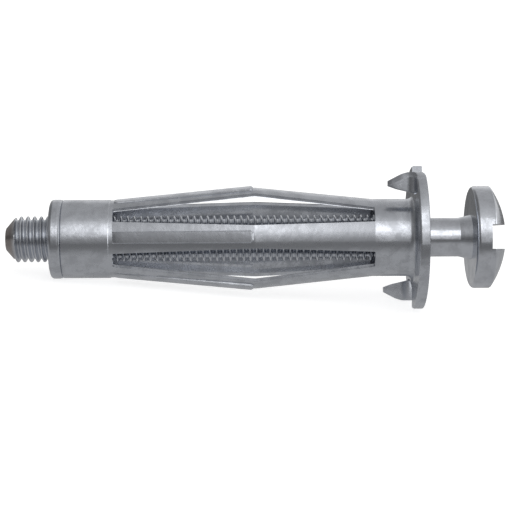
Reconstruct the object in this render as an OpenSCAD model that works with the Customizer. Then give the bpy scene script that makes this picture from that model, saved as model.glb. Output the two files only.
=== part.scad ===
// Hollow wall anchor: a slotted steel sleeve with a toothed flange, a threaded nut held in the
// sleeve's far end, and a raised pan head screw that draws the nut towards the flange.
// Millimetres. The axis is +X, from the screw's tip to its head. The origin is on the axis,
// at the flange's wall face. The part lies on its flange and its nut, with a notch facing down.

/* [Sleeve] */
// Outside diameter of the tube and of the legs
tube_d = 10.06; // [9.7:0.02:11]
// Thickness of the tube, the legs and the collar's bore wall
wall = 0.5; // [0.4:0.02:0.6]
// Outside diameter of the collar round the nut
collar_d = 10.2; // [10:0.02:11.4]
// Length of the collar, from the slots to the nut's flange
collar_len = 6.7; // [5:0.1:9]
// Length of the step from the collar down to the legs
collar_step = 0.3; // [0.1:0.05:0.6]
// Length of the plain tube between the flange and the slots
tube_len = 5.2; // [3:0.1:12]

/* [Legs] */
// Number of legs round the sleeve
leg_count = 5; // [3:1:5]
// Length of each leg from the collar to its knee
rear_leg_len = 18.25; // [14:0.25:24]
// Length of each leg from its knee to the tube
front_leg_len = 15.25; // [12:0.25:22]
// Turn of the ring of legs about the axis, in degrees, from square to the slits in the flange
leg_turn = -1; // [-3:0.5:3]
// Width of a leg where it leaves the collar
leg_collar_w = 4.2; // [3.4:0.02:4.4]
// Width of a leg at its knee
leg_knee_w = 3.04; // [2.6:0.02:3.2]
// Width of a leg where it joins the tube
leg_tube_w = 3.96; // [3.4:0.02:4.2]
// How far the knee stands out from the tube
leg_bulge = 1.53; // [0.6:0.01:2]
// Width across the flat top of the rib on a leg
rib_top_w = 1.46; // [0.8:0.02:1.6]
// How far a rib's flank runs out for each millimetre that it rises
rib_flank = 0.5; // [0.4:0.05:1]
// Height of the rib at the knee
rib_h = 0.3; // [0.15:0.01:0.4]
// Height of the rib at the collar
rib_start_h = 0.06; // [0.02:0.01:0.1]
// Plain length between the rib's end and the knee
rib_end_gap = 0.35; // [0.2:0.05:1.5]

/* [Flange] */
// Diameter of the flange
flange_d = 18.6; // [17:0.1:22]
// Thickness of the flange and of its teeth
flange_t = 1.3; // [1:0.05:1.6]
// Radius of the fillet between the tube and the flange
flange_fillet = 0.75; // [0.3:0.05:0.9]
// Radius of the rolled edge at the flange's wall face
rim_round = 0.25; // [0.1:0.05:0.4]

/* [Teeth] */
// Distance from the axis plane to a tooth's outer face
tooth_offset = 4.17; // [3.9:0.01:4.6]
// Inner radius of the fold between a tooth and the flange
fold_r = 1.1; // [0.2:0.05:1.3]
// Gap that frees the fold's inner end from the flange
fold_relief = 0.1; // [0.05:0.05:0.3]
// Distance from the axis plane to the slit that frees a tooth
slit_offset = 0.46; // [0.2:0.02:1]
// Length of a tooth below the flange's wall face
tooth_len = 3.45; // [2.8:0.05:3.7]
// Distance from the axis to the inner edge of a tooth at its root
tooth_inner = 5.6; // [5.4:0.05:5.9]
// How far a tooth's inner edge leans out towards the tip
tooth_inner_lean = 0.95; // [0.6:0.05:1.1]
// Width of a tooth's blunt tip
tooth_tip_w = 0.67; // [0.4:0.01:0.9]
// Distance from the axis to the notch's inner edge beside the slit
notch_slit_inner = 6.5; // [6.3:0.05:7]

/* [Nut] */
// Diameter of the nut's flange
nut_flange_d = 10.3; // [10.2:0.02:12]
// Thickness of the nut's flange
nut_flange_t = 1.6; // [1:0.05:3]
// Radius of the nut flange's outer edge
nut_round = 0.45; // [0.2:0.05:0.6]
// Width of the groove between the nut's flange and the collar
groove_w = 0.3; // [0.1:0.05:0.5]
// Gap left between the end of the nut's body and the slots
nut_setback = 0.4; // [0.3:0.05:1]
// Depth of the countersink at each end of the nut's bore
nut_sink = 0.35; // [0.1:0.05:0.8]

/* [Screw] */
// Outside diameter of the thread
thread_d = 6; // [5:0.05:6.2]
// Radial clearance between the thread and the nut
thread_gap = 0.05; // [0.02:0.01:0.09]
// Length of the thread, from the tip
thread_len = 49.8; // [40:0.1:52]
// Length of the screw below its head
screw_len = 60.4; // [56:0.1:75]
// Diameter of the plain shank
shank_d = 5.06; // [4:0.02:5.2]
// Diameter of the shank's cone where it meets the head
neck_d = 5.8; // [5.4:0.05:7]
// Length of the cone below the head
neck_len = 1.55; // [0.5:0.05:2]
// Diameter of the blunt tip
tip_d = 2.9; // [2:0.05:3.8]
// Length of the tip's chamfer
tip_len = 1.35; // [0.8:0.05:1.8]

/* [Head] */
// Gap between the flange and the screw's head, where the fixture goes
fixture_gap = 6.26; // [3:0.02:9]
// Diameter of the head
head_d = 13.3; // [12:0.1:16]
// Height of the head's straight rim
rim_h = 2.4; // [1.5:0.05:3]
// Height of the dome above the rim
dome_h = 2.1; // [1.2:0.05:2.6]
// Radius of the head's lower edge
head_round = 0.5; // [0.1:0.05:0.8]
// Width of the driver slot
slot_w = 3.1; // [1.4:0.05:3.6]
// Depth of the driver slot below the top of the dome
slot_depth = 2.6; // [1.4:0.05:3]

/* [Hidden] */
$fn = 96;
// Overlap of pieces that are joined, and the spare length of a cutting shape
eps = 0.2;
rod_spare = 3;
// A leg's root lies this far inside the tube's wall on both sides, where the slots end
leg_seat = 0.03;

// Radii
tube_r = tube_d / 2;
bore_r = tube_r - wall;
collar_r = collar_d / 2;
flange_r = flange_d / 2;
thread_r = thread_d / 2;
shank_r = shank_d / 2;
head_r = head_d / 2;
nut_flange_r = nut_flange_d / 2;
nut_bore_r = thread_r + thread_gap;

// Stations along the axis, from the flange's wall face
tube_end = -tube_len;
knee_at = tube_end - front_leg_len;
slot_end = knee_at - rear_leg_len;
leg_len = rear_leg_len + front_leg_len;
sleeve_end = slot_end - collar_len;
head_at = flange_t + fixture_gap;
tip_at = head_at - screw_len;

// The flange runs flat up to here, where the fold of a tooth starts
fold_at = tooth_offset + fold_r;

// A tooth's outer edge starts on the flange's rim
tooth_outer = sqrt(flange_r * flange_r - tooth_offset * tooth_offset);
tip_inner = tooth_inner + tooth_inner_lean;
tip_outer = tip_inner + tooth_tip_w;
shoulder_len = 0.28 * tooth_len;

// Turn about the axis that brings the middle of a notch to the bottom
rest_roll = (asin(slit_offset / flange_r) + asin(tooth_offset / flange_r)) / 2;

// From a frame with its axis on z to the part's frame
module lie_down() {
    rotate([90, 0, 90]) rotate([0, 0, -rest_roll]) children();
}

// A ring's section, for rotate_extrude
module ring_2d(inner, outer, low, high) {
    translate([inner, low]) square([outer - inner, high - low]);
}

module tube_and_flange() {
    rotate_extrude() difference() {
        union() {
            ring_2d(bore_r, tube_r, tube_end, flange_t);
            ring_2d(bore_r, flange_r, 0, flange_t);
            difference() {
                ring_2d(bore_r, tube_r + flange_fillet, -flange_fillet, 0);
                translate([tube_r + flange_fillet, -flange_fillet]) circle(r = flange_fillet);
            }
        }
        translate([flange_r - rim_round, 0]) difference() {
            translate([0, -eps]) square([rim_round + eps, rim_round + eps]);
            translate([0, rim_round]) circle(r = rim_round);
        }
    }
}

module collar() {
    rotate_extrude() polygon([
        [bore_r, sleeve_end],
        [collar_r - groove_w / 2, sleeve_end],
        [collar_r, sleeve_end + groove_w / 2],
        [collar_r, slot_end - collar_step],
        [tube_r, slot_end],
        [bore_r, slot_end]]);
}

// A rod along a leg's rear or front half: its side at +x runs from the end of the slots to the knee
module leaning_rod(r, from, len) {
    lean = atan(leg_bulge / len);
    translate([r - r / cos(lean), 0, from]) rotate([0, lean, 0])
        translate([0, 0, -rod_spare]) cylinder(r = r, h = leg_len + 2 * rod_spare);
}

// The space under a leg's outer or inner skin
module under_leg(r) {
    intersection() {
        leaning_rod(r, slot_end, rear_leg_len);
        mirror([0, 0, 1]) leaning_rod(r, -tube_end, front_leg_len);
    }
}

// A leg's outline seen from outside, narrow at the knee
module leg_outline() {
    rear_w = leg_collar_w / 2 + (leg_collar_w - leg_knee_w) / 2 * eps / rear_leg_len;
    front_w = leg_tube_w / 2 + (leg_tube_w - leg_knee_w) / 2 * eps / front_leg_len;
    rotate([90, 0, 90]) linear_extrude(tube_r + leg_bulge + 1) polygon([
        [-rear_w, slot_end - eps], [rear_w, slot_end - eps], [leg_knee_w / 2, knee_at],
        [front_w, tube_end + eps], [-front_w, tube_end + eps], [-leg_knee_w / 2, knee_at]]);
}

// A bar along a leg's rear half, trapezoid in section, that rises towards the knee
module rib_bar(top_w, sink) {
    lean = atan((leg_bulge + rib_h - rib_start_h) / rear_leg_len);
    top = rib_start_h + wall / 2;
    foot_w = top_w + 2 * rib_flank * top;
    translate([tube_r - wall / 2 - sink, 0, slot_end]) rotate([0, lean, 0])
        translate([0, 0, -1]) linear_extrude(rear_leg_len + 2) polygon([
            [0, -foot_w / 2], [top, -top_w / 2], [top, top_w / 2], [0, foot_w / 2]]);
}

// The stretch that a rib takes up from near to far, with a sloped end before the knee
module rib_stretch(near, far) {
    outside = tube_r + leg_bulge + rib_h + 1;
    rotate([90, 0, 0]) linear_extrude(leg_knee_w, center = true) polygon([
        [0, near], [outside, near], [outside, far - rib_h - 1],
        [tube_r + leg_bulge, far], [0, far]]);
}

module leg() {
    difference() {
        union() {
            intersection() {
                leg_outline();
                under_leg(tube_r - leg_seat);
            }
            intersection() {
                rib_bar(rib_top_w, 0);
                rib_stretch(slot_end - collar_step - eps, knee_at - rib_end_gap);
            }
        }
        under_leg(bore_r + leg_seat);
        intersection() {
            rib_bar(rib_top_w - wall, wall);
            rib_stretch(slot_end + wall, knee_at - rib_end_gap - wall / 2);
        }
    }
}

// A tooth that points to -z, on the side where x and y are positive
module tooth() {
    intersection() {
        translate([0, flange_r, 0]) rotate([90, 0, 0]) linear_extrude(flange_r) {
            translate([tooth_offset - flange_t, -tooth_len - 1])
                square([flange_t, tooth_len + 1 - fold_r]);
            translate([fold_at, -fold_r]) intersection() {
                difference() {
                    circle(r = fold_r + flange_t);
                    circle(r = fold_r);
                }
                translate([-fold_r - flange_t, 0]) square(fold_r + flange_t);
            }
            translate([fold_at, 0]) square([eps, flange_t]);
        }
        rotate([90, 0, 90]) linear_extrude(flange_r) polygon([
            [tooth_inner, flange_t + 1],
            [tooth_outer, flange_t + 1],
            [tooth_outer, -shoulder_len],
            [tooth_outer - 0.22 * (tooth_outer - tip_outer), -0.52 * tooth_len],
            [tip_outer, -tooth_len],
            [tip_inner, -tooth_len],
            [tooth_inner + 0.6 * tooth_inner_lean, -0.7 * tooth_len],
            [tooth_inner, 0]]);
        translate([0, 0, -tooth_len - 1]) cylinder(r = flange_r, h = tooth_len + flange_t + 1);
    }
}

// The notch that bending a tooth leaves in the flange
module notch() {
    translate([0, 0, -eps]) linear_extrude(flange_t + 2 * eps) polygon([
        [slit_offset, notch_slit_inner], [tooth_offset - flange_t, tooth_inner - fold_relief],
        [fold_at, tooth_inner - fold_relief], [fold_at, flange_r + 1],
        [slit_offset, flange_r + 1]]);
}

module sleeve() {
    color([0.62, 0.64, 0.68]) lie_down() {
        difference() {
            tube_and_flange();
            for (turn = [0, 180]) rotate([0, 0, turn]) mirror([0, 1, 0]) notch();
        }
        for (turn = [0, 180]) rotate([0, 0, turn]) mirror([0, 1, 0]) tooth();
        collar();
        for (i = [0:leg_count - 1]) rotate([0, 0, 180 + leg_turn + i * 360 / leg_count]) leg();
    }
}

module nut() {
    color([0.58, 0.6, 0.63]) lie_down() rotate_extrude() difference() {
        union() {
            ring_2d(nut_bore_r, nut_flange_r, sleeve_end - nut_flange_t, sleeve_end);
            ring_2d(nut_bore_r, bore_r, sleeve_end - eps, slot_end - nut_setback);
        }
        translate([nut_flange_r - nut_round, sleeve_end - nut_flange_t]) difference() {
            translate([0, -eps]) square([nut_round + eps, nut_round + eps]);
            translate([0, nut_round]) circle(r = nut_round);
        }
        polygon([[nut_flange_r - groove_w / 2, sleeve_end + eps / 2],
                 [nut_flange_r - groove_w / 2, sleeve_end],
                 [nut_flange_r + eps, sleeve_end - groove_w - eps],
                 [nut_flange_r + eps, sleeve_end + eps / 2]]);
        for (side = [[sleeve_end - nut_flange_t, 1], [slot_end - nut_setback, -1]])
            translate([nut_bore_r, side[0]]) scale([1, side[1]])
                polygon([[-eps, -eps], [nut_sink + eps, -eps], [-eps, nut_sink + eps]]);
    }
}

module screw_head() {
    dome_r = (head_r * head_r + dome_h * dome_h) / (2 * dome_h);
    top = head_at + rim_h + dome_h;
    intersection() {
        rotate_extrude() difference() {
            ring_2d(0, head_r, head_at, top);
            translate([head_r - head_round, head_at]) difference() {
                translate([0, -eps]) square([head_round + eps, head_round + eps]);
                translate([0, head_round]) circle(r = head_round);
            }
        }
        translate([0, 0, top - dome_r]) sphere(r = dome_r);
    }
}

module screw() {
    color([0.66, 0.67, 0.7]) lie_down() difference() {
        union() {
            screw_head();
            rotate_extrude() polygon([
                [0, tip_at], [tip_d / 2, tip_at], [thread_r, tip_at + tip_len],
                [thread_r, tip_at + thread_len], [shank_r, tip_at + thread_len + thread_r - shank_r],
                [shank_r, head_at - neck_len], [neck_d / 2, head_at], [neck_d / 2, head_at + 1],
                [0, head_at + 1]]);
        }
        translate([-head_r - 1, -slot_w / 2, head_at + rim_h + dome_h - slot_depth])
            cube([head_d + 2, slot_w, slot_depth + 1]);
    }
}

sleeve();
nut();
screw();
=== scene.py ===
# Hollow wall anchor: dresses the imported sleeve, nut and screw, then sets up a plain studio.
# The pieces' and the camera's lengths are in millimetres. Bump heights, the floor's size and the
# softboxes are in metres, and so are the finished meshes.
import math

import bmesh
import bpy
from mathutils import Matrix, Vector


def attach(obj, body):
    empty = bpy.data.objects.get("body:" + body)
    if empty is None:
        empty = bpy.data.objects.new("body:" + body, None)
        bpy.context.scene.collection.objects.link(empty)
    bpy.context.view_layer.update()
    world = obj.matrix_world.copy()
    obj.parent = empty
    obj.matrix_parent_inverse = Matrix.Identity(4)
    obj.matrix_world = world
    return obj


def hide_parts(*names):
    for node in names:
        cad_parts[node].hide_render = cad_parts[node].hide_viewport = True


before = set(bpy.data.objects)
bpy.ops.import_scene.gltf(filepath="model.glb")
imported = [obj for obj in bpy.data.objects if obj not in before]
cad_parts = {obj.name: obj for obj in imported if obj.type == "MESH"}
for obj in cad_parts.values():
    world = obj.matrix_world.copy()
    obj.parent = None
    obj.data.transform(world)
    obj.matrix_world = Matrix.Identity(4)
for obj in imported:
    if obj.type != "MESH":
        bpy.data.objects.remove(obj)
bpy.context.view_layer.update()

mm = 0.001
touching = 1e-4  # a point nearer than this to a plane, in millimetres, lies on it
hair = 0.01  # keeps a cut off the faces beside it, in millimetres
weld = 2e-6  # points nearer to each other than this, in metres, become one
roundSteps = 72  # steps round a turned piece and its thread
threadRows = 12  # rows in each turn of a thread
restRoll = math.radians(14.74)  # turn about the axis that brings a notch to the bottom
# from a frame with the axis on z, in millimetres, to the part's own frame in metres
toPart = Matrix((
    (0, 0, mm, 0),
    (math.cos(restRoll) * mm, math.sin(restRoll) * mm, 0, 0),
    (-math.sin(restRoll) * mm, math.cos(restRoll) * mm, 0, 0),
    (0, 0, 0, 1)))


# mesh helpers, in millimetres until toPart is applied
def ringOf(bm, z, radius, angles):
    if radius == 0:
        return [bm.verts.new((0, 0, z))] * len(angles)
    return [bm.verts.new((radius * math.cos(a), radius * math.sin(a), z)) for a in angles]


def joinRings(bm, low, high, closed=True):
    count = len(low)
    for i in range(count if closed else count - 1):
        j = (i + 1) % count
        corners = []
        for vert in (low[i], low[j], high[j], high[i]):
            if vert not in corners:
                corners.append(vert)
        if len(corners) > 2:
            bm.faces.new(corners)


def lathe(bm, rows, angles):
    rings = [ringOf(bm, z, radius, angles) for z, radius in rows]
    for low, high in zip(rings, rings[1:]):
        joinRings(bm, low, high)
    return rings


def arcRows(centreZ, centreR, radius, start, end, steps):
    rows = []
    for i in range(steps + 1):
        a = math.radians(start + (end - start) * i / steps)
        rows.append((centreZ + radius * math.cos(a), centreR + radius * math.sin(a)))
    return rows


# adds rows close to the ends of long straight stretches, so that they shade flat
def braced(rows, longer=0.35, near=0.03):
    made = [rows[0]]
    for (za, ra), (zb, rb) in zip(rows, rows[1:]):
        length = math.hypot(zb - za, rb - ra)
        if length > longer:
            for share in (near / length, 1 - near / length):
                made.append((za + (zb - za) * share, ra + (rb - ra) * share))
        made.append((zb, rb))
    return made


def evenAngles(count):
    return [2 * math.pi * i / count for i in range(count)]


def onOpenEdge(vert):
    return any(len(edge.link_faces) == 1 for edge in vert.link_edges)


def onPlane(bm, point, normal, keep=None):
    found = []
    for vert in bm.verts:
        if abs((vert.co - Vector(point)).dot(Vector(normal))) < touching:
            if keep is None or keep(vert.co):
                found.append(vert)
    return found


# one flat face through the open edge's points, taken in order round their middle
def fillConvex(bm, verts, normal):
    normal = Vector(normal)
    middle = sum((v.co for v in verts), Vector()) / len(verts)
    u = normal.orthogonal().normalized()
    w = normal.cross(u)
    verts.sort(key=lambda v: math.atan2((v.co - middle).dot(w), (v.co - middle).dot(u)))
    return bm.faces.new(verts)


# splits only the faces that lie wholly above a height
def cutAlong(bm, point, normal, above):
    faces = [f for f in bm.faces if all(v.co.z > above for v in f.verts)]
    parts = {v for f in faces for v in f.verts} | {e for f in faces for e in f.edges}
    bmesh.ops.bisect_plane(bm, geom=list(parts) + faces, dist=touching / 10, plane_co=point,
                           plane_no=normal)


# welds a piece, turns its faces outward, gives them one material and counts its open edges
def finishMesh(piece, smoothAngle):
    mesh, bm = piece.data, bmesh.new()
    bm.from_mesh(mesh)
    bmesh.ops.remove_doubles(bm, verts=bm.verts, dist=weld / 2)
    bmesh.ops.recalc_face_normals(bm, faces=bm.faces)
    openEdges = sum(1 for e in bm.edges if len(e.link_faces) != 2)
    for face in bm.faces:
        face.material_index = len(mesh.materials) - 1
    bm.to_mesh(mesh)
    bm.free()
    mesh.shade_smooth()
    mesh.set_sharp_from_angle(angle=math.radians(smoothAngle))
    print(f"{piece.name}: {len(mesh.polygons)} faces, {openEdges} edges not shared by two faces")


def newObject(name, bm):
    mesh = bpy.data.meshes.new(name)
    bm.to_mesh(mesh)
    bm.free()
    obj = bpy.data.objects.new(name, mesh)
    bpy.context.scene.collection.objects.link(obj)
    return obj


# geometry node trees
def newTree(name, inputs):
    tree = bpy.data.node_groups.new(name, "GeometryNodeTree")
    tree.interface.new_socket("Geometry", in_out="INPUT", socket_type="NodeSocketGeometry")
    for label, kind in inputs:
        tree.interface.new_socket(label, in_out="INPUT", socket_type=kind)
    tree.interface.new_socket("Geometry", in_out="OUTPUT", socket_type="NodeSocketGeometry")
    return tree, tree.nodes.new("NodeGroupInput"), tree.nodes.new("NodeGroupOutput")


def feed(tree, value, socket):
    if isinstance(value, bpy.types.NodeSocket):
        tree.links.new(value, socket)
    else:
        socket.default_value = value


def calc(tree, operation, *values):
    node = tree.nodes.new("ShaderNodeMath")
    node.operation = operation
    for value, socket in zip(values, node.inputs):
        feed(tree, value, socket)
    return node.outputs[0]


def addNode(tree, kind, values=None, **settings):
    node = tree.nodes.new(kind)
    for key, value in settings.items():
        setattr(node, key, value)
    for key, value in (values or {}).items():
        feed(tree, value, node.inputs[key])
    return node


def mixColour(tree, share, first, second, blend="MIX"):
    node = addNode(tree, "ShaderNodeMix", data_type="RGBA", blend_type=blend)
    sockets = {socket.identifier: socket for socket in (*node.inputs, *node.outputs)}
    for key, value in (("Factor_Float", share), ("A_Color", first), ("B_Color", second)):
        feed(tree, value, sockets[key])
    return sockets["Result_Color"]


# puts the tree on the object, gives its inputs, and keeps the result as a plain mesh
def bakeTree(obj, tree, values):
    modifier = obj.modifiers.new(tree.name, "NODES")
    modifier.node_group = tree
    for item in tree.interface.items_tree:
        if item.item_type == "SOCKET" and item.in_out == "INPUT" and item.name in values:
            modifier[item.identifier] = values[item.name]
    bpy.context.view_layer.update()
    evaluated = obj.evaluated_get(bpy.context.evaluated_depsgraph_get())
    mesh = bpy.data.meshes.new_from_object(evaluated)
    obj.modifiers.remove(modifier)
    mesh.name = obj.name
    obj.data = mesh


# a helical surface whose radius follows a thread's form, joined to the turned part it is cut on
def threadTree():
    number, whole = "NodeSocketFloat", "NodeSocketInt"
    tree, given, out = newTree("helicalThread", [
        ("Start", number), ("End", number), ("Pitch", number), ("Crest Radius", number),
        ("Root Radius", number), ("Tip Radius", number), ("Tip Length", number), ("Lag", number),
        ("Fade Length", number), ("Sink Radius", number), ("Rows Per Turn", whole),
        ("Around", whole), ("Material", "NodeSocketMaterial")])
    g = given.outputs
    # the grid is skewed, so it starts two turns early and has three more than the length needs
    early, spare = 2.0, 3.0
    length = calc(tree, "SUBTRACT", g["End"], g["Start"])
    turns = calc(tree, "ADD", calc(tree, "CEIL", calc(tree, "DIVIDE", length, g["Pitch"])), spare)
    rows = calc(tree, "ADD", calc(tree, "MULTIPLY", turns, g["Rows Per Turn"]), 1.0)
    around = calc(tree, "ADD", g["Around"], 1.0)
    grid = addNode(tree, "GeometryNodeMeshGrid", {
        "Size X": 1.0, "Size Y": 1.0, "Vertices X": rows, "Vertices Y": around})
    place = addNode(tree, "ShaderNodeSeparateXYZ", {
        0: addNode(tree, "GeometryNodeInputPosition").outputs[0]})
    turn = calc(tree, "ADD", place.outputs["Y"], 0.5)
    row = calc(tree, "MULTIPLY", calc(tree, "ADD", place.outputs["X"], 0.5), turns)
    # along the axis in pitches, held between the two ends
    halfRow = calc(tree, "DIVIDE", 0.5, g["Rows Per Turn"])
    behind = calc(tree, "ADD", g["Lag"], early)
    along = calc(tree, "SUBTRACT", calc(tree, "ADD", calc(tree, "ADD", row, halfRow), turn), behind)
    free = calc(tree, "ADD", g["Start"], calc(tree, "MULTIPLY", along, g["Pitch"]))
    axial = calc(tree, "MINIMUM", calc(tree, "MAXIMUM", free, g["Start"]), g["End"])
    fromStart = calc(tree, "SUBTRACT", axial, g["Start"])
    toEnd = calc(tree, "SUBTRACT", g["End"], axial)
    phase = calc(tree, "FRACT", calc(tree, "ADD", calc(
        tree, "SUBTRACT", calc(tree, "DIVIDE", fromStart, g["Pitch"]), turn), behind))
    fromCrest = calc(tree, "SUBTRACT", 1.0, calc(
        tree, "ABSOLUTE", calc(tree, "SUBTRACT", calc(tree, "MULTIPLY", phase, 2.0), 1.0)))
    form = addNode(tree, "ShaderNodeFloatCurve", {"Factor": 1.0, "Value": fromCrest})
    curve = form.mapping.curves[0]
    # the share of the way from crest to root, and the share of the depth that stands there
    points = [(0.0, 1.0), (0.17, 1.0), (0.33, 0.8), (0.7, 0.1), (0.9, 0.0), (1.0, 0.0)]
    for i, (x, y) in enumerate(points):
        if i in (0, len(points) - 1):
            curve.points[0 if i == 0 else -1].location = (x, y)
        else:
            curve.points.new(x, y)
    for point in curve.points:
        point.handle_type = "VECTOR"
    form.mapping.update()
    fade = calc(tree, "MINIMUM", calc(tree, "DIVIDE", toEnd, g["Fade Length"]), 1.0)
    depth = calc(tree, "SUBTRACT", g["Crest Radius"], g["Root Radius"])
    radius = calc(tree, "ADD", g["Root Radius"], calc(
        tree, "MULTIPLY", calc(tree, "MULTIPLY", form.outputs[0], fade), depth))
    tipSlope = calc(tree, "DIVIDE", calc(
        tree, "SUBTRACT", g["Crest Radius"], g["Tip Radius"]), g["Tip Length"])
    cone = calc(tree, "ADD", g["Tip Radius"], calc(tree, "MULTIPLY", fromStart, tipSlope))
    radius = calc(tree, "MINIMUM", radius, cone)
    nearEnd = calc(tree, "MINIMUM", fromStart, toEnd)
    radius = calc(tree, "MAXIMUM", radius, calc(tree, "SUBTRACT", g["Sink Radius"], nearEnd))
    angle = calc(tree, "SUBTRACT", calc(tree, "MULTIPLY", turn, 2 * math.pi), restRoll)
    position = addNode(tree, "ShaderNodeCombineXYZ", {
        "X": axial,
        "Y": calc(tree, "MULTIPLY", radius, calc(tree, "COSINE", angle)),
        "Z": calc(tree, "MULTIPLY", radius, calc(tree, "SINE", angle))})
    moved = addNode(tree, "GeometryNodeSetPosition", {
        "Geometry": grid.outputs["Mesh"], "Position": position.outputs[0]})
    joined = addNode(tree, "GeometryNodeJoinGeometry")
    tree.links.new(moved.outputs[0], joined.inputs[0])
    tree.links.new(g["Geometry"], joined.inputs[0])
    real = addNode(tree, "GeometryNodeRealizeInstances", {0: joined.outputs[0]})
    merged = addNode(tree, "GeometryNodeMergeByDistance", {
        "Geometry": real.outputs[0], "Distance": weld})
    painted = addNode(tree, "GeometryNodeSetMaterial", {
        "Geometry": merged.outputs[0], "Material": g["Material"]})
    tree.links.new(painted.outputs[0], out.inputs[0])
    return tree


# copies of one sector, turned about the axis
def sectorTree():
    tree, given, out = newTree("sectorsRound", [
        ("Count", "NodeSocketInt"), ("Merge Distance", "NodeSocketFloat"),
        ("Material", "NodeSocketMaterial")])
    g = given.outputs
    points = addNode(tree, "GeometryNodePoints", {"Count": g["Count"]})
    step = calc(tree, "DIVIDE", 2 * math.pi, g["Count"])
    turn = addNode(tree, "ShaderNodeCombineXYZ", {
        "X": calc(tree, "MULTIPLY", addNode(tree, "GeometryNodeInputIndex").outputs[0], step)})
    copies = addNode(tree, "GeometryNodeInstanceOnPoints", {
        "Points": points.outputs[0], "Instance": g["Geometry"],
        "Rotation": turn.outputs[0]})
    real = addNode(tree, "GeometryNodeRealizeInstances", {0: copies.outputs[0]})
    merged = addNode(tree, "GeometryNodeMergeByDistance", {
        "Geometry": real.outputs[0], "Distance": g["Merge Distance"]})
    painted = addNode(tree, "GeometryNodeSetMaterial", {
        "Geometry": merged.outputs[0], "Material": g["Material"]})
    tree.links.new(painted.outputs[0], out.inputs[0])
    return tree


def shaderGroup(name, inputs, outputs):
    group = bpy.data.node_groups.new(name, "ShaderNodeTree")
    for label, kind, value in inputs:
        socket = group.interface.new_socket(label, in_out="INPUT", socket_type=kind)
        socket.default_value = value
    for label, kind in outputs:
        group.interface.new_socket(label, in_out="OUTPUT", socket_type=kind)
    return group, group.nodes.new("NodeGroupInput"), group.nodes.new("NodeGroupOutput")


clouds = {
    "blotchDetail": 3.0, "blotchRoughness": 0.55, "blotchShare": 0.75,
    "speckleDetail": 2.0, "speckleRoughness": 0.6, "speckleShare": 0.25,
    "darkBelow": 0.36, "lightAbove": 0.62,
}


# cloudy plating: soft blotches with a finer speckle in them
def zincCloudGroup(c):
    group, given, out = shaderGroup("zincCloud", [
        ("Blotch Scale", "NodeSocketFloat", 500.0),
        ("Speckle Scale", "NodeSocketFloat", 4000.0),
        ("Light", "NodeSocketColor", (0.4, 0.4, 0.4, 1)),
        ("Dark", "NodeSocketColor", (0.3, 0.3, 0.3, 1)),
        ("Smooth", "NodeSocketFloat", 0.25),
        ("Rough", "NodeSocketFloat", 0.4)],
        [("Colour", "NodeSocketColor"), ("Roughness", "NodeSocketFloat"),
         ("Waves", "NodeSocketFloat"), ("Height", "NodeSocketFloat")])
    g = given.outputs
    where = addNode(group, "ShaderNodeTexCoord").outputs["Object"]
    blotch = addNode(group, "ShaderNodeTexNoise", {
        "Vector": where, "Scale": g["Blotch Scale"], "Detail": c["blotchDetail"],
        "Roughness": c["blotchRoughness"]})
    speckle = addNode(group, "ShaderNodeTexNoise", {
        "Vector": where, "Scale": g["Speckle Scale"], "Detail": c["speckleDetail"],
        "Roughness": c["speckleRoughness"]})
    both = calc(group, "ADD", calc(group, "MULTIPLY", blotch.outputs[0], c["blotchShare"]),
                calc(group, "MULTIPLY", speckle.outputs[0], c["speckleShare"]))
    spread = addNode(group, "ShaderNodeMapRange", {
        "Value": both, "From Min": c["darkBelow"], "From Max": c["lightAbove"],
        "To Min": 0.0, "To Max": 1.0}, interpolation_type="SMOOTHSTEP")
    colour = mixColour(group, spread.outputs[0], g["Dark"], g["Light"])
    rough = addNode(group, "ShaderNodeMapRange", {
        "Value": spread.outputs[0], "From Min": 0.0, "From Max": 1.0,
        "To Min": g["Rough"], "To Max": g["Smooth"]})
    group.links.new(colour, out.inputs["Colour"])
    group.links.new(rough.outputs[0], out.inputs["Roughness"])
    group.links.new(blotch.outputs[0], out.inputs["Waves"])
    group.links.new(both, out.inputs["Height"])
    return group


# fine lines left round a turned face, or drawn along a wire
def toolLineGroup():
    group, given, out = shaderGroup("toolLines", [
        ("Across Scale", "NodeSocketFloat", 9000.0),
        ("Along Scale", "NodeSocketFloat", 150.0)],
        [("Height", "NodeSocketFloat")])
    g = given.outputs
    place = addNode(group, "ShaderNodeSeparateXYZ", {
        0: addNode(group, "ShaderNodeTexCoord").outputs["Object"]})
    around = addNode(group, "ShaderNodeCombineXYZ", {
        "X": calc(group, "MULTIPLY", place.outputs["X"], g["Across Scale"]),
        "Y": calc(group, "MULTIPLY", place.outputs["Y"], g["Along Scale"]),
        "Z": calc(group, "MULTIPLY", place.outputs["Z"], g["Along Scale"])})
    lines = addNode(group, "ShaderNodeTexNoise", {
        "Vector": around.outputs[0], "Scale": 1.0, "Detail": 2.0, "Roughness": 0.7})
    group.links.new(lines.outputs[0], out.inputs["Height"])
    return group


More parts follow.
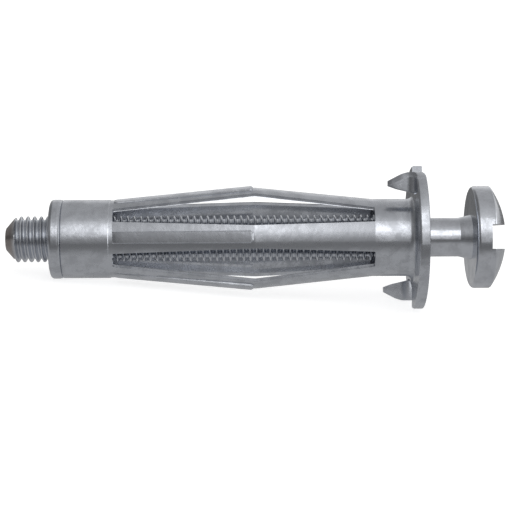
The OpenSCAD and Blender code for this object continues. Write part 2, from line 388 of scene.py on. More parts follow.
def zincMaterial(name, finish, cloud, lines):
    material = bpy.data.materials.new(name)
    material.use_nodes = True
    tree = material.node_tree
    shader = tree.nodes["Principled BSDF"]
    shader.inputs["Metallic"].default_value = 1.0
    cloudy = addNode(tree, "ShaderNodeGroup", {
        "Blotch Scale": finish["blotchScale"], "Speckle Scale": finish["speckleScale"],
        "Light": (*finish["light"], 1), "Dark": (*finish["dark"], 1),
        "Smooth": finish["smooth"], "Rough": finish["rough"]}, node_tree=cloud).outputs
    marks = addNode(tree, "ShaderNodeGroup", {
        "Across Scale": finish["acrossScale"], "Along Scale": finish["alongScale"]},
        node_tree=lines).outputs
    height = calc(tree, "ADD", calc(tree, "MULTIPLY", cloudy["Height"], finish["grain"]),
                  calc(tree, "MULTIPLY", marks["Height"], finish["lines"]))
    height = calc(tree, "ADD", height, calc(tree, "MULTIPLY", cloudy["Waves"], finish["waves"]))
    bump = addNode(tree, "ShaderNodeBump", {
        "Strength": 1.0, "Distance": 1.0, "Height": height})
    colour = cloudy["Colour"]
    if "tip" in finish:  # plating worn from the first threads, so the tip is darker and warmer
        tip = finish["tip"]
        place = addNode(tree, "ShaderNodeSeparateXYZ", {
            0: addNode(tree, "ShaderNodeTexCoord").outputs["Object"]})
        worn = addNode(tree, "ShaderNodeMapRange", {
            "Value": place.outputs["X"], "From Min": tip["from"] * mm, "From Max": tip["to"] * mm,
            "To Min": tip["share"], "To Max": 0.0}, interpolation_type="SMOOTHSTEP")
        colour = mixColour(tree, worn.outputs[0], colour, (*tip["colour"], 1), "MULTIPLY")
    tree.links.new(colour, shader.inputs["Base Color"])
    tree.links.new(cloudy["Roughness"], shader.inputs["Roughness"])
    tree.links.new(bump.outputs[0], shader.inputs["Normal"])
    return material


finishes = {
    "sleeve": {
        "light": (0.63, 0.652, 0.7), "dark": (0.53, 0.549, 0.59),
        "smooth": 0.23, "rough": 0.32, "blotchScale": 650, "speckleScale": 3000,
        "grain": 6e-7, "waves": 2.3e-5, "lines": 1e-6, "acrossScale": 900, "alongScale": 900},
    "nut": {
        "light": (0.63, 0.652, 0.7), "dark": (0.53, 0.549, 0.59),
        "smooth": 0.2, "rough": 0.27, "blotchScale": 650, "speckleScale": 3400,
        "grain": 6e-7, "waves": 3e-5, "lines": 3e-6, "acrossScale": 9000, "alongScale": 120},
    "screw": {
        "light": (0.65, 0.672, 0.72), "dark": (0.56, 0.58, 0.62),
        "smooth": 0.17, "rough": 0.25, "blotchScale": 600, "speckleScale": 3400,
        "grain": 6e-7, "waves": 3e-5, "lines": 1.5e-6, "acrossScale": 5000, "alongScale": 300,
        "tip": {"from": -52.2, "to": -51.2, "share": 0.95, "colour": (0.5, 0.43, 0.38)}},
}
cloudGroup, lineGroup = zincCloudGroup(clouds), toolLineGroup()
zinc = {name: zincMaterial(name + "Zinc", finish, cloudGroup, lineGroup)
        for name, finish in finishes.items()}
print("finishes made")

thread = threadTree()


# lag is the share of a pitch by which one thread comes after another, so that they run in step
def bakeThread(piece, lengths, lag, material):
    values = {label: length * mm for label, length in lengths.items()}
    bakeTree(piece, thread, {**values, "Lag": lag, "Rows Per Turn": threadRows,
                             "Around": roundSteps, "Material": material})


screw = {
    "neckAt": 6.01, "neckRadius": 2.9, "headAt": 7.56, "headRadius": 6.65, "headRound": 0.5,
    "rimHeight": 2.4, "domeHeight": 2.1, "rimRound": 0.25,
    "headSteps": 5, "rimSteps": 4, "domeSteps": 14,
    "slotWidth": 3.1, "slotFloor": 9.46, "slotEdge": 0.12, "smoothAngle": 42,
    "thread": {
        "Start": -52.84, "End": -2.55, "Pitch": 0.866, "Crest Radius": 3.0, "Root Radius": 2.53,
        "Tip Radius": 1.45, "Tip Length": 1.35, "Fade Length": 1.3, "Sink Radius": 0.0},
}


# the head and shank, and the disc that closes the thread's tip
def screwBody(bm, s):
    angles, cut = evenAngles(roundSteps), s["thread"]
    r, h = s["headRadius"], s["domeHeight"]
    rimTop = s["headAt"] + s["rimHeight"]
    domeR = (r * r + h * h) / (2 * h)
    domeCentre = rimTop + h - domeR
    # the rounding between rim and dome touches both
    rim, low = s["rimRound"], s["headRound"]
    edgeR = r - rim
    edgeZ = domeCentre + math.sqrt((domeR - rim) ** 2 - edgeR ** 2)
    touch = math.degrees(math.atan2(edgeR, edgeZ - domeCentre))
    rows = [(cut["End"], cut["Root Radius"]), (s["neckAt"], cut["Root Radius"]),
            (s["headAt"], s["neckRadius"]), (s["headAt"], r - low)]
    rows += arcRows(s["headAt"] + low, r - low, low, 180, 90, s["headSteps"])[1:]
    rows += arcRows(edgeZ, edgeR, rim, 90, touch, s["rimSteps"])
    rows += arcRows(domeCentre, 0, domeR, touch, 0, s["domeSteps"])[1:-1]
    rows += [(rimTop + h, 0)]
    lathe(bm, braced(rows), angles)
    lathe(bm, [(cut["Start"], 0), (cut["Start"], cut["Tip Radius"])], angles)


# a straight slot across the dome: split along its planes, drop what is in it, close it again
def cutSlot(bm, s):
    half, floor = s["slotWidth"] / 2, s["slotFloor"]
    cutAlong(bm, (0, 0, floor), (0, 0, 1), s["headAt"] - hair)
    for side in (-1, 1):
        cutAlong(bm, (0, side * half, 0), (0, 1, 0), floor - hair)
    inside = [f for f in bm.faces if abs(f.calc_center_median().y) < half
              and f.calc_center_median().z > floor]
    bmesh.ops.delete(bm, geom=inside, context="FACES")
    walls = []
    for side in (-1, 1):
        verts = onPlane(bm, (0, side * half, 0), (0, 1, 0), lambda p: p.z > floor - touching)
        walls.append(fillConvex(bm, [v for v in verts if onOpenEdge(v)], (0, -side, 0)))
    verts = onPlane(bm, (0, 0, floor), (0, 0, 1), lambda p: abs(p.y) < half + touching)
    fillConvex(bm, [v for v in verts if onOpenEdge(v)], (0, 0, 1))
    return walls


bm = bmesh.new()
screwBody(bm, screw)
bmesh.ops.remove_doubles(bm, verts=bm.verts, dist=touching / 10)
walls = cutSlot(bm, screw)
lips = [e for f in walls for e in f.edges
        if min(v.co.z for v in e.verts) > screw["slotFloor"] + hair]
bmesh.ops.bevel(bm, geom=lips, offset=screw["slotEdge"], segments=2, profile=0.5,
                affect="EDGES", clamp_overlap=True)
bm.transform(toPart)
screwPiece = newObject("machineScrew", bm)
bakeThread(screwPiece, screw["thread"], 0.0, zinc["screw"])
finishMesh(screwPiece, screw["smoothAngle"])
print("screw made")

nut = {
    "flangeEnd": -45.4, "flangeRadius": 5.15, "round": 0.45, "roundSteps": 5,
    "groove": 0.2, "endBevel": 0.42, "endDrop": 0.07, "bodyRadius": 4.53, "smoothAngle": 42,
    # no tip here: its cone is too wide to reach the thread
    "thread": {
        "Start": -47.0, "End": -39.1, "Pitch": 0.866, "Crest Radius": 3.05, "Root Radius": 2.6,
        "Tip Radius": 20, "Tip Length": 1, "Fade Length": 0.01, "Sink Radius": 3.4},
}


# the flange and the body that sits in the collar, open at the bore
def nutBody(bm, n):
    left, right, sink = (n["thread"][label] for label in ("Start", "End", "Sink Radius"))
    r, e, end = n["flangeRadius"], n["round"], n["flangeEnd"]
    rows = [(left, sink), (left, r - e)]
    rows += arcRows(left + e, r - e, e, 180, 90, n["roundSteps"])[1:]
    rows += [(end - n["endBevel"], r), (end - n["groove"] / 2, r - n["endDrop"]),
             (end, r - n["groove"]), (end, n["bodyRadius"]), (right, n["bodyRadius"]),
             (right, sink)]
    lathe(bm, braced(rows), evenAngles(roundSteps))


bm = bmesh.new()
nutBody(bm, nut)
bm.transform(toPart)
nutPiece = newObject("flangeNut", bm)
lag = (nut["thread"]["Start"] - screw["thread"]["Start"]) / screw["thread"]["Pitch"] % 1
bakeThread(nutPiece, nut["thread"], lag, zinc["nut"])
finishMesh(nutPiece, nut["smoothAngle"])
print("nut made")

# collar, legs and plain tube, as one fifth that is copied round
sleeve = {
    "tubeRadius": 5.03, "boreRadius": 4.53, "collarRadius": 5.1, "left": -45.4,
    "collarChamfer": 0.1, "collarEnd": -39.3, "collarStep": 0.09, "slotsFrom": -38.7,
    "slotsTo": -5.2, "cornerRadius": 0.08, "edge": 0.05, "smoothAngle": 32,
    "legs": 5, "legTurn": -1, "collarWidth": 4.2, "kneeWidth": 3.04, "tubeWidth": 3.96,
    "knee": -20.5, "bulge": 1.63, "kneeSoft": 0.025,
    # the rib rises from the collar to the knee, and steps down just before it
    "ribTop": 1.46, "ribFlank": 0.16, "flankLeast": 0.03, "ribFrom": 0.08, "ribTo": 0.26,
    "ribStart": 0.15, "ribGap": 0.2, "ribCorner": 0.14, "ribLeast": 0.004,
    "ribSoft": 0.03, "softShare": 0.4, "softReturn": 0.1, "ribEndRun": 0.26,
    "ribEndStep": 0.07, "ribEndSlope": 0.75, "ribEndSteep": 4, "ribEndSoft": 0.03,
    # behind the rib, the bore has a shallower recess with soft sides
    "recessDepth": 0.05, "recessSide": 0.4, "recessFlank": 1.2, "recessSoft": 0.15,
}
# where the rows and columns of a leg's mesh lie, closer together at each feature
legMesh = {
    "corner": (0, 0.1, 0.3, 0.6, 1),
    "rearFirst": 0.5, "rearStep": 0.87, "rearCount": 20, "clearOfRibEnd": 0.7,
    "beforeRibEnd": (0.6, 0.5, 0.44, 0.38, 0.34, 0.31, 0.28, 0.25, 0.22, 0.18, 0.13, 0.08,
                     0.045, 0.03, 0.018, 0.005, -0.01),
    "pastKnee": (-0.03, 0, 0.03, 0.08, 0.2, 0.4),
    "frontFirst": 0.9, "frontStep": 0.9, "frontCount": 15, "clearOfTube": 0.1,
    "besideTop": (-0.06, -0.015, 0.01), "besideFoot": (0, 0.02, 0.06), "besideEdge": 0.02,
    "gapSteps": 5,
}


def softMax(a, b, soft):
    return 0.5 * (a + b + math.sqrt((a - b) ** 2 + soft * soft))


def softMin(a, b, soft):
    return -softMax(-a, -b, soft)


# how far the leg stands out at a station
def legLift(s, z):
    rear = s["bulge"] * (z - s["slotsFrom"]) / (s["knee"] - s["slotsFrom"])
    front = s["bulge"] * (s["slotsTo"] - z) / (s["slotsTo"] - s["knee"])
    return softMin(rear, front, s["kneeSoft"])


def ribHeight(s, z):
    t = (z - s["slotsFrom"]) / (s["knee"] - s["slotsFrom"])
    start = min(1, max(0, (z - s["slotsFrom"]) / s["ribStart"]))
    rise = (s["ribFrom"] + (s["ribTo"] - s["ribFrom"]) * t) * start
    left = s["knee"] - s["ribGap"] - z
    stop = s["bulge"] - legLift(s, z) + min(
        s["ribEndSteep"] * left, s["ribEndStep"] + s["ribEndSlope"] * left)
    return max(0, softMin(rise, stop, s["ribEndSoft"] * start))


def halfWidth(s, z):
    end, width = ("slotsFrom", "collarWidth") if z < s["knee"] else ("slotsTo", "tubeWidth")
    t = (z - s[end]) / (s["knee"] - s[end])
    width = s[width] + (s["kneeWidth"] - s[width]) * t
    gone = min(z - s["slotsFrom"], s["slotsTo"] - z)
    rc = s["cornerRadius"]
    flare = rc - math.sqrt(max(0, rc * rc - (rc - gone) ** 2)) if gone < rc else 0
    return width / 2 - s["edge"] + flare


# half of the rib's flat top, rounded off in plan where the rib ends
def ribHalf(s, z):
    rc = s["ribCorner"]
    gone = min(rc, max(0, s["knee"] - s["ribGap"] - s["ribEndRun"] - z))
    return s["ribTop"] / 2 - rc + math.sqrt(rc * rc - (rc - gone) ** 2)


def columnsAt(s, z):
    top, edge = ribHalf(s, z), halfWidth(s, z)
    drop = ribHeight(s, z) + top * top / (2 * s["tubeRadius"])
    foot = top + max(s["flankLeast"], s["ribFlank"] * drop)
    half = [0, 0.5 * top] + [top + d for d in legMesh["besideTop"]]
    half += [foot + d for d in legMesh["besideFoot"]]
    half += [foot + (edge - foot) * 0.5, edge - legMesh["besideEdge"], edge]
    return [-y for y in reversed(half[1:])] + half


# a point of the outer or inner skin, beside the middle of a leg
def skinPoint(s, z, y, outer):
    r = s["tubeRadius"] if outer else s["boreRadius"]
    y = y * r / s["tubeRadius"]
    lift = legLift(s, z) if s["slotsFrom"] < z < s["slotsTo"] else 0
    arc = lift + math.sqrt(r * r - y * y)
    h = ribHeight(s, z) if s["slotsFrom"] < z < s["slotsTo"] else 0
    if h <= s["ribLeast"]:
        return Vector((arc, y, z))
    if outer:
        side, flank, soft = 0, s["ribFlank"], s["ribSoft"]
    else:
        side, flank, soft = s["recessSide"], s["recessFlank"], s["recessSoft"]
        h = min(h, s["recessDepth"])
    over = abs(y) - ribHalf(s, z) + side
    # the softening sinks the rib's top a little too, which the last share gives back
    drop = softMax(over, 0, soft) - s["softReturn"] * soft
    plane = lift + r + h - drop / flank
    return Vector((softMax(arc, plane, min(soft, h * s["softShare"])), y, z))


def legStations(s):
    rc, m = s["cornerRadius"], legMesh
    ends = [rc * share for share in m["corner"]]
    stations = [s["slotsFrom"] + e for e in ends]
    stations += [s["slotsFrom"] + m["rearFirst"] + i * m["rearStep"] for i in range(m["rearCount"])]
    ribEnd = s["knee"] - s["ribGap"]
    stations = [z for z in stations if z < ribEnd - m["clearOfRibEnd"]]
    stations += [ribEnd - d for d in m["beforeRibEnd"]]
    stations += [s["knee"] + d for d in m["pastKnee"]]
    stations += [s["knee"] + m["frontFirst"] + i * m["frontStep"] for i in range(m["frontCount"])]
    stations = [z for z in stations if z < s["slotsTo"] - rc - m["clearOfTube"]]
    stations += [s["slotsTo"] - e for e in reversed(ends)]
    return stations


# angles of the columns round one fifth: half a gap, a leg, half a gap
def ringAngles(s, z):
    leg = [math.asin(y / s["tubeRadius"]) for y in columnsAt(s, z)]
    half, steps = math.pi / s["legs"], legMesh["gapSteps"]
    gap = [leg[-1] + (half - leg[-1]) * i / steps for i in range(1, steps + 1)]
    return [-a for a in reversed(gap)] + leg + gap


def sectorMesh(s, tubeTo):
    bm = bmesh.new()
    collarAngles, tubeAngles = ringAngles(s, s["slotsFrom"]), ringAngles(s, s["slotsTo"])
    steps = legMesh["gapSteps"]
    leftEnds, skins = [], []
    collar = [(s["left"], s["collarRadius"] - s["collarChamfer"]),
              (s["left"] + s["collarChamfer"], s["collarRadius"]),
              (s["collarEnd"], s["collarRadius"]),
              (s["collarEnd"] + s["collarStep"], s["tubeRadius"])]
    for outer in (True, False):
        r = s["tubeRadius"] if outer else s["boreRadius"]
        rows = collar if outer else [(z, r) for z, _ in collar]
        rings = [ringOf(bm, z, radius, collarAngles) for z, radius in rows]
        rings.append(ringOf(bm, s["slotsFrom"] - s["edge"], r, collarAngles))
        tube = [ringOf(bm, s["slotsTo"] + s["edge"], r, tubeAngles),
                ringOf(bm, tubeTo, r, tubeAngles)]
        legs = []
        for z in legStations(s):
            row = [skinPoint(s, z, y, outer) for y in columnsAt(s, z)]
            legs.append([bm.verts.new(p) for p in row])
        for low, high in zip(rings, rings[1:]):
            joinRings(bm, low, high, closed=False)
        joinRings(bm, tube[0], tube[1], closed=False)
        # the middles of the rings at the slots' ends carry the leg's first and last rows
        joinRings(bm, rings[-1][steps:-steps], legs[0], closed=False)
        joinRings(bm, tube[0][steps:-steps], legs[-1], closed=False)
        for low, high in zip(legs, legs[1:]):
            joinRings(bm, low, high, closed=False)
        skins.append((rings[-1], legs, tube[0]))
        leftEnds.append(rings[0])
    joinRings(bm, *leftEnds, closed=False)
    # a rim from skin to skin along both sides of the leg and the ends of the slots
    for side in (1, -1):
        paths = []
        for rear, legs, front in skins:
            gapRear = rear[-steps - 1:] if side > 0 else rear[:steps + 1]
            gapFront = front[-steps - 1:] if side > 0 else front[:steps + 1]
            column = [row[-1] if side > 0 else row[0] for row in legs]
            if side > 0:
                paths.append(list(reversed(gapRear)) + column + gapFront)
            else:
                paths.append(gapRear + column + list(reversed(gapFront)))
        rimAlong(bm, *paths, side, s["edge"])
    return bm


def rimAlong(bm, outerPath, innerPath, side, edge):
    rows = []
    last = len(outerPath) - 1
    for i, (p, q) in enumerate(zip(outerPath, innerPath)):
        a, b = outerPath[max(0, i - 1)].co, outerPath[min(last, i + 1)].co
        out = Vector((p.co.x, p.co.y, 0)).normalized()
        if i in (0, last):
            towards = Vector((0, 0, 1 if i == 0 else -1))
        else:
            towards = (b - a).cross(out).normalized() * -side
        upper = bm.verts.new(p.co + towards * edge - out * edge)
        lower = bm.verts.new(q.co + towards * edge + out * edge)
        rows.append([p, upper, lower, q])
    for low, high in zip(rows, rows[1:]):
        joinRings(bm, low, high, closed=False)


flange = {
    "from": -1.2, "fillet": 0.75, "radius": 9.3, "rimRound": 0.25, "thickness": 1.3,
    "frontEdge": 0.1, "edgeSag": 0.3, "boreEdge": 0.12, "filletSteps": 6, "rimSteps": 4,
    "slitOffset": 0.46, "slitInner": 6.5, "relief": 0.1,
}
tooth = {
    "offset": 4.17, "thickness": 1.3, "fold": 1.1, "length": 3.45, "inner": 5.6, "lean": 0.95,
    "tipWidth": 0.67, "shoulder": 0.966, "edge": 0.06, "edgeLead": 0.04, "twist": 0.05,
    # each bend is a share of the length, and the share of the lean that is used up there
    "outerBend": (0.52, 0.22), "innerBend": (0.7, 0.6),
    "rollWidth": 0.7, "rollDepth": 0.45, "rollAtMost": 0.8, "rollBend": (0.6, 0.35),
    "rootSeat": 0.25, "sunk": 0.004, "foldSteps": 9,
    "stations": (0.36, 0.44, 0.52, 0.6, 0.7, 0.85, 1),
}

sector = sectorMesh(sleeve, flange["from"])
sector.transform(Matrix.Rotation(math.pi + math.radians(sleeve["legTurn"]), 4, "Z"))
sector.transform(toPart)
sleevePiece = newObject("slottedSleeve", sector)
bakeTree(sleevePiece, sectorTree(), {
    "Count": sleeve["legs"], "Merge Distance": weld, "Material": zinc["sleeve"]})
print("legs and tube made")


def flangeMesh(f, s):
    bm = bmesh.new()
    start = math.pi + math.radians(s["legTurn"])
    count = s["legs"]
    one = ringAngles(s, s["slotsTo"])[:-1]
    angles = [start + a + i * 2 * math.pi / count for i in range(count) for a in one]
    fillet, rim, r = f["fillet"], f["rimRound"], f["radius"]
    rows = [(f["from"], s["tubeRadius"])]
    rows += arcRows(-fillet, s["tubeRadius"] + fillet, fillet, 270, 360, f["filletSteps"])
    rows += [(0, r - rim)]
    rows += arcRows(rim, r - rim, rim, 180, 90, f["rimSteps"])[1:]
    top, e, sag = f["thickness"], f["frontEdge"], f["edgeSag"]
    rows += [(top - e, r), (top - sag * e, r - sag * e), (top, r - e),
             (top, s["boreRadius"] + f["boreEdge"])]
    rings = lathe(bm, braced(rows), angles)
    bore = lathe(bm, [(top - f["boreEdge"], s["boreRadius"]), (f["from"], s["boreRadius"])],
                 angles)
    joinRings(bm, rings[-1], bore[0])
    return bm


# the notch lies between the slit and the fold, outside two lines that meet at the tooth's root
def cutNotch(bm, f, t, turn):
    half = Matrix.Rotation(turn, 3, "Z")
    foldAt, rootY = t["offset"] + t["fold"], f["relief"] - t["inner"]
    corner = Vector((f["slitOffset"], -f["slitInner"], 0))
    root = Vector((t["offset"] - t["thickness"], rootY, 0))
    inward = Vector((-(root - corner).y, (root - corner).x, 0)).normalized()
    planes = [(corner, Vector((-1, 0, 0))), (Vector((foldAt, rootY, 0)), Vector((1, 0, 0))),
              (root, inward), (root, Vector((0, 1, 0)))]
    planes = [(half @ p, half @ d) for p, d in planes]
    for p, d in planes:
        cutAlong(bm, p, d, -f["fillet"] - hair)
    inside = [face for face in bm.faces
              if all((face.calc_center_median() - p).dot(d) < -touching for p, d in planes)]
    bmesh.ops.delete(bm, geom=inside, context="FACES")
    for p, d in planes:
        rim = [v for v in onPlane(bm, p, d) if onOpenEdge(v)]
        rim = [v for v in rim if all((v.co - q).dot(e) < 10 * touching for q, e in planes)]
        fillConvex(bm, rim, -d)


# height along a broken line of (down, height) points
def heightOn(line, down):
    for (a, ya), (b, yb) in zip(line, line[1:]):
        if down <= b:
            return ya + (yb - ya) * max(0, down - a) / (b - a)
    return line[-1][1]


# one loop round the tooth's section; place gives x and z for a depth into the sheet
def toothLoop(t, f, place, blend):
    rimY = math.sqrt(f["radius"] ** 2 - t["offset"] ** 2)
    tipIn = t["inner"] + t["lean"]
    tipOut = tipIn + t["tipWidth"]
    (outerAt, outerUsed), (innerAt, innerUsed) = t["outerBend"], t["innerBend"]
    outerLine = [(0, rimY), (t["shoulder"], rimY),
                 (outerAt * t["length"], rimY - outerUsed * (rimY - tipOut)),
                 (t["length"], tipOut)]
    innerLine = [(0, t["inner"]), (innerAt * t["length"], t["inner"] + innerUsed * t["lean"]),
                 (t["length"], tipIn)]
    thick, e, r, top, sag = t["thickness"], t["edge"], f["rimRound"], f["frontEdge"], f["edgeSag"]
    down = -place(0)[1]
    width = heightOn(outerLine, down) - heightOn(innerLine, down)
    roll = min(t["rollWidth"], t["rollAtMost"] * width)
    # depth into the sheet and distance back from the outer edge: round at the root, then rolled
    rounded = [(0, r), (sag * r, sag * r), (r, 0)]
    bendDepth, bendBack = t["rollBend"]
    rolled = [(0, roll), (bendDepth * t["rollDepth"], bendBack * roll), (t["rollDepth"], 0)]
    edge = [(a[0] + (b[0] - a[0]) * blend, a[1] + (b[1] - a[1]) * blend)
            for a, b in zip(rounded, rolled)]
    outer = [(0, edge[0][1] + t["edgeLead"])] + edge
    outer += [(thick - top, 0), (thick - sag * top, sag * top), (thick, top)]
    inner = [(thick, e), (thick - e, 0), (e, 0), (0, e)]
    points = []
    for depth, back in outer:
        x, z = place(depth)
        y = min(heightOn(outerLine, -z), math.sqrt(f["radius"] ** 2 - x * x)) - back
        points.append(Vector((x + t["twist"] * blend * (y - t["inner"]), -y, z)))
    for depth, up in inner:
        x, z = place(depth)
        points.append(Vector((x, -heightOn(innerLine, -z) - up, z)))
    return points


def toothMesh(t, f):
    out, thick, fold = t["offset"], t["thickness"], t["fold"]
    sunk, steps = t["sunk"], t["foldSteps"]
    # the root is let into the flange, a hair under its faces
    loops = [toothLoop(t, f, lambda d: (out + fold + t["rootSeat"],
                                        sunk + d * (1 - 2 * sunk / thick)), 0)]
    for i in range(steps + 1):
        a = math.pi / 2 * i / steps
        loops.append(toothLoop(t, f, lambda d: (out + fold - (fold + d) * math.sin(a),
                                                (fold + d) * math.cos(a) - fold), i / steps))
    for share in t["stations"]:
        down = share * (t["length"] - t["edge"])
        loops.append(toothLoop(t, f, lambda d: (out - d, -down), 1))
    middle = sum(loops[-1], Vector()) / len(loops[-1])
    loops.append([p + (middle - p).normalized() * t["edge"] - Vector((0, 0, t["edge"]))
                  for p in loops[-1]])
    bm = bmesh.new()
    loops = [[bm.verts.new(p) for p in loop] for loop in loops]
    for low, high in zip(loops, loops[1:]):
        joinRings(bm, low, high)
    bm.faces.new(loops[0])
    bm.faces.new(loops[-1])
    return bm


def addTo(obj, bm):
    extra = bpy.data.meshes.new("extra")
    bm.to_mesh(extra)
    bm.free()
    both = bmesh.new()
    both.from_mesh(obj.data)
    both.from_mesh(extra)
    both.to_mesh(obj.data)
    both.free()
    bpy.data.meshes.remove(extra)


bm = flangeMesh(flange, sleeve)
for turn in (0, math.pi):
    cutNotch(bm, flange, tooth, turn)
bm.transform(toPart)
addTo(sleevePiece, bm)
for turn in (0, math.pi):
    bm = toothMesh(tooth, flange)
    bm.transform(Matrix.Rotation(turn, 4, "Z"))
    bm.transform(toPart)
    addTo(sleevePiece, bm)
finishMesh(sleevePiece, sleeve["smoothAngle"])
print("flange and teeth made")

for piece, node, body in ((sleevePiece, "sleeve", "anchor"), (nutPiece, "nut", "anchor"),
                          (screwPiece, "screw", "screw")):
    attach(piece, body)
    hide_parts(node)

studio = {
    # the camera looks down at a point on the axis, and is rolled a little
    "distance": 202.1, "elevation": 14.74, "middle": -23.08, "rise": -2.18,
    "lens": 109.4, "shift": 0.0392, "roll": 0.29,
    # the floor passes through two points, given by x and z
    "floorLow": (-0.5, -9.12), "floorHigh": (-46.8, -5.14), "floorSize": 3.0,
    "floorTone": 0.8, "floorGlow": 0.75, "floorRoughness": 0.9,
    # the floor's painted glow, seen only in the metal's reflections: its level from under the part
    # to far off, by distance over height
    "paintedGlowUnder": 0.42, "paintedGlowFar": 0.17, "nearRatio": 1.7, "farRatio": 5.5,
    "softboxes": [
        {"name": "frontSoftbox", "at": (0.01, -0.463, 0.3816), "width": 0.21, "height": 0.34,
         "level": 1.2},
        {"name": "lowSoftbox", "at": (0.065, -0.585, 0.135), "width": 0.1, "height": 0.22,
         "level": 0.42}],
    # level of the surroundings by angle: 0 is the horizon in front, 90 overhead, 180 behind
    "surroundings": [(-180, 0.62), (-150, 0.42), (-30, 0.28), (-10, 0.16), (-2, 0.17),
                     (6, 0.23), (14, 0.36), (22, 0.5), (32, 0.66), (52, 0.74), (66, 0.68),
                     (80, 0.55), (92, 0.47), (125, 0.45), (148, 0.55), (165, 0.78), (180, 0.82)],
    # towards the right end a glow is added, and towards the left the surroundings are dimmed
    "rightFrom": 0.82, "rightTo": 0.91, "rightGlow": 1.3,
    "leftFrom": -0.06, "leftTo": -0.4, "leftShare": 0.4,
}


def addCamera(c):
    data = bpy.data.cameras.new("studioCamera")
    data.lens = c["lens"]
    data.shift_x = c["shift"]
    data.clip_start, data.clip_end = 0.01, 10
    e = math.radians(c["elevation"])
    up = Vector((0, math.sin(e), math.cos(e)))
    back = Vector((0, -math.cos(e), math.sin(e)))
    target = Vector((c["middle"], 0, 0)) + up * c["rise"]
    camera = bpy.data.objects.new("studioCamera", data)
    turn = math.radians(c["roll"])
    right = Vector((1, 0, 0))
    rolledRight = right * math.cos(turn) - up * math.sin(turn)
    rolledUp = up * math.cos(turn) + right * math.sin(turn)
    matrix = Matrix((rolledRight, rolledUp, back)).transposed().to_4x4()
    matrix.translation = (target + back * c["distance"]) * mm
    camera.matrix_world = matrix
    bpy.context.scene.collection.objects.link(camera)
    bpy.context.scene.camera = camera


def addFloor(c):
    (x0, z0), (x1, z1) = c["floorLow"], c["floorHigh"]
    along = Vector((x1 - x0, 0, z1 - z0)).normalized()
    across = Vector((0, 1, 0))
    middle = Vector(((x0 + x1) / 2, 0, (z0 + z1) / 2)) * mm
    size = c["floorSize"] / 2
    mesh = bpy.data.meshes.new("floor")
    corners = [middle + along * a * size + across * b * size
               for a, b in ((1, -1), (-1, -1), (-1, 1), (1, 1))]
    mesh.from_pydata([tuple(p) for p in corners], [], [(3, 0, 1, 2)])
    floor = bpy.data.objects.new("floor", mesh)
    bpy.context.scene.collection.objects.link(floor)
    material = bpy.data.materials.new("paleFloor")
    material.use_nodes = True
    tree = material.node_tree
    shader = tree.nodes["Principled BSDF"]
    shader.inputs["Roughness"].default_value = c["floorRoughness"]
    shader.inputs["Specular IOR Level"].default_value = 0.0
    path = addNode(tree, "ShaderNodeLightPath")
    # painted reflection: to glossy rays the floor has no colour and glows instead, dimmer far from
    # the part, so the part's shadow never darkens it in the metal; the camera sees it pale all over
    place = addNode(tree, "ShaderNodeSeparateXYZ", {
        0: addNode(tree, "ShaderNodeTexCoord").outputs["Object"]})
    ratio = calc(tree, "DIVIDE", calc(tree, "ABSOLUTE", place.outputs["Y"]),
                 calc(tree, "MAXIMUM", calc(tree, "MULTIPLY", place.outputs["Z"], -1.0), 0.001))
    paintedReflection = addNode(tree, "ShaderNodeMapRange", {
        "Value": ratio, "From Min": c["nearRatio"], "From Max": c["farRatio"],
        "To Min": c["paintedGlowUnder"], "To Max": c["paintedGlowFar"]}, interpolation_type="SMOOTHSTEP")
    # the floor's colour is zero for glossy rays, so the metal sees only the painted glow
    diffuse = calc(tree, "MULTIPLY", calc(
        tree, "SUBTRACT", 1.0, path.outputs["Is Glossy Ray"]), c["floorTone"])
    tone = addNode(tree, "ShaderNodeCombineColor", {0: diffuse, 1: diffuse, 2: diffuse})
    tree.links.new(tone.outputs[0], shader.inputs["Base Color"])
    seen = calc(tree, "ADD", calc(tree, "MULTIPLY", path.outputs["Is Camera Ray"], c["floorGlow"]),
                calc(tree, "MULTIPLY", path.outputs["Is Glossy Ray"], paintedReflection.outputs[0]))
    shader.inputs["Emission Color"].default_value = (1, 1, 1, 1)
    tree.links.new(seen, shader.inputs["Emission Strength"])
    mesh.materials.append(material)


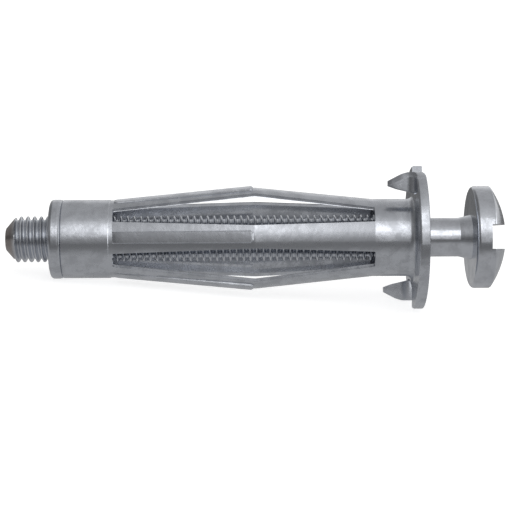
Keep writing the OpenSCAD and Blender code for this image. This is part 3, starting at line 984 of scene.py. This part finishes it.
def addWorld(c):
    world = bpy.data.worlds.new("studioWorld")
    bpy.context.scene.world = world
    world.use_nodes = True
    tree = world.node_tree
    background = tree.nodes["Background"]
    place = addNode(tree, "ShaderNodeSeparateXYZ", {
        0: addNode(tree, "ShaderNodeTexCoord").outputs["Generated"]})
    angle = calc(tree, "ARCTAN2", place.outputs["Z"], calc(
        tree, "MULTIPLY", place.outputs["Y"], -1.0))
    share = addNode(tree, "ShaderNodeMapRange", {
        "Value": angle, "From Min": -math.pi, "From Max": math.pi})
    ramp = addNode(tree, "ShaderNodeValToRGB", {0: share.outputs[0]})
    elements = ramp.color_ramp.elements
    for i, (degrees, level) in enumerate(c["surroundings"]):
        element = elements[i] if i < 2 else elements.new((degrees + 180) / 360)
        element.position = (degrees + 180) / 360
        element.color = (level, level, level, 1)
    left = addNode(tree, "ShaderNodeMapRange", {
        "Value": place.outputs["X"], "From Min": c["leftTo"], "From Max": c["leftFrom"],
        "To Min": c["leftShare"], "To Max": 1.0}, interpolation_type="SMOOTHSTEP")
    right = addNode(tree, "ShaderNodeMapRange", {
        "Value": place.outputs["X"], "From Min": c["rightFrom"], "From Max": c["rightTo"],
        "To Min": 0.0, "To Max": c["rightGlow"]}, interpolation_type="SMOOTHSTEP")
    dimmed = addNode(tree, "ShaderNodeVectorMath", operation="SCALE")
    feed(tree, ramp.outputs[0], dimmed.inputs[0])
    feed(tree, left.outputs[0], dimmed.inputs["Scale"])
    lit = addNode(tree, "ShaderNodeVectorMath", operation="ADD")
    feed(tree, dimmed.outputs[0], lit.inputs[0])
    feed(tree, right.outputs[0], lit.inputs[1])
    path = addNode(tree, "ShaderNodeLightPath")
    seen = mixColour(tree, path.outputs["Is Camera Ray"], lit.outputs[0], (1, 1, 1, 1))
    tree.links.new(seen, background.inputs["Color"])
    background.inputs["Strength"].default_value = 1.0


# a softbox is a lamp with an even face; its power follows from how bright the face is
def addSoftbox(box):
    data = bpy.data.lights.new(box["name"], "AREA")
    data.shape = "RECTANGLE"
    data.size, data.size_y = box["width"], box["height"]
    data.energy = box["level"] * math.pi * box["width"] * box["height"]
    lamp = bpy.data.objects.new(box["name"], data)
    place = Vector(box["at"])
    direction = Vector((place.x, 0, 0)) - place
    lamp.rotation_mode = "QUATERNION"
    lamp.rotation_quaternion = direction.to_track_quat("-Z", "Y")
    lamp.location = place
    bpy.context.scene.collection.objects.link(lamp)


addCamera(studio)
addFloor(studio)
addWorld(studio)
for box in studio["softboxes"]:
    addSoftbox(box)
bpy.context.scene.view_settings.view_transform = "Standard"
print("studio set")
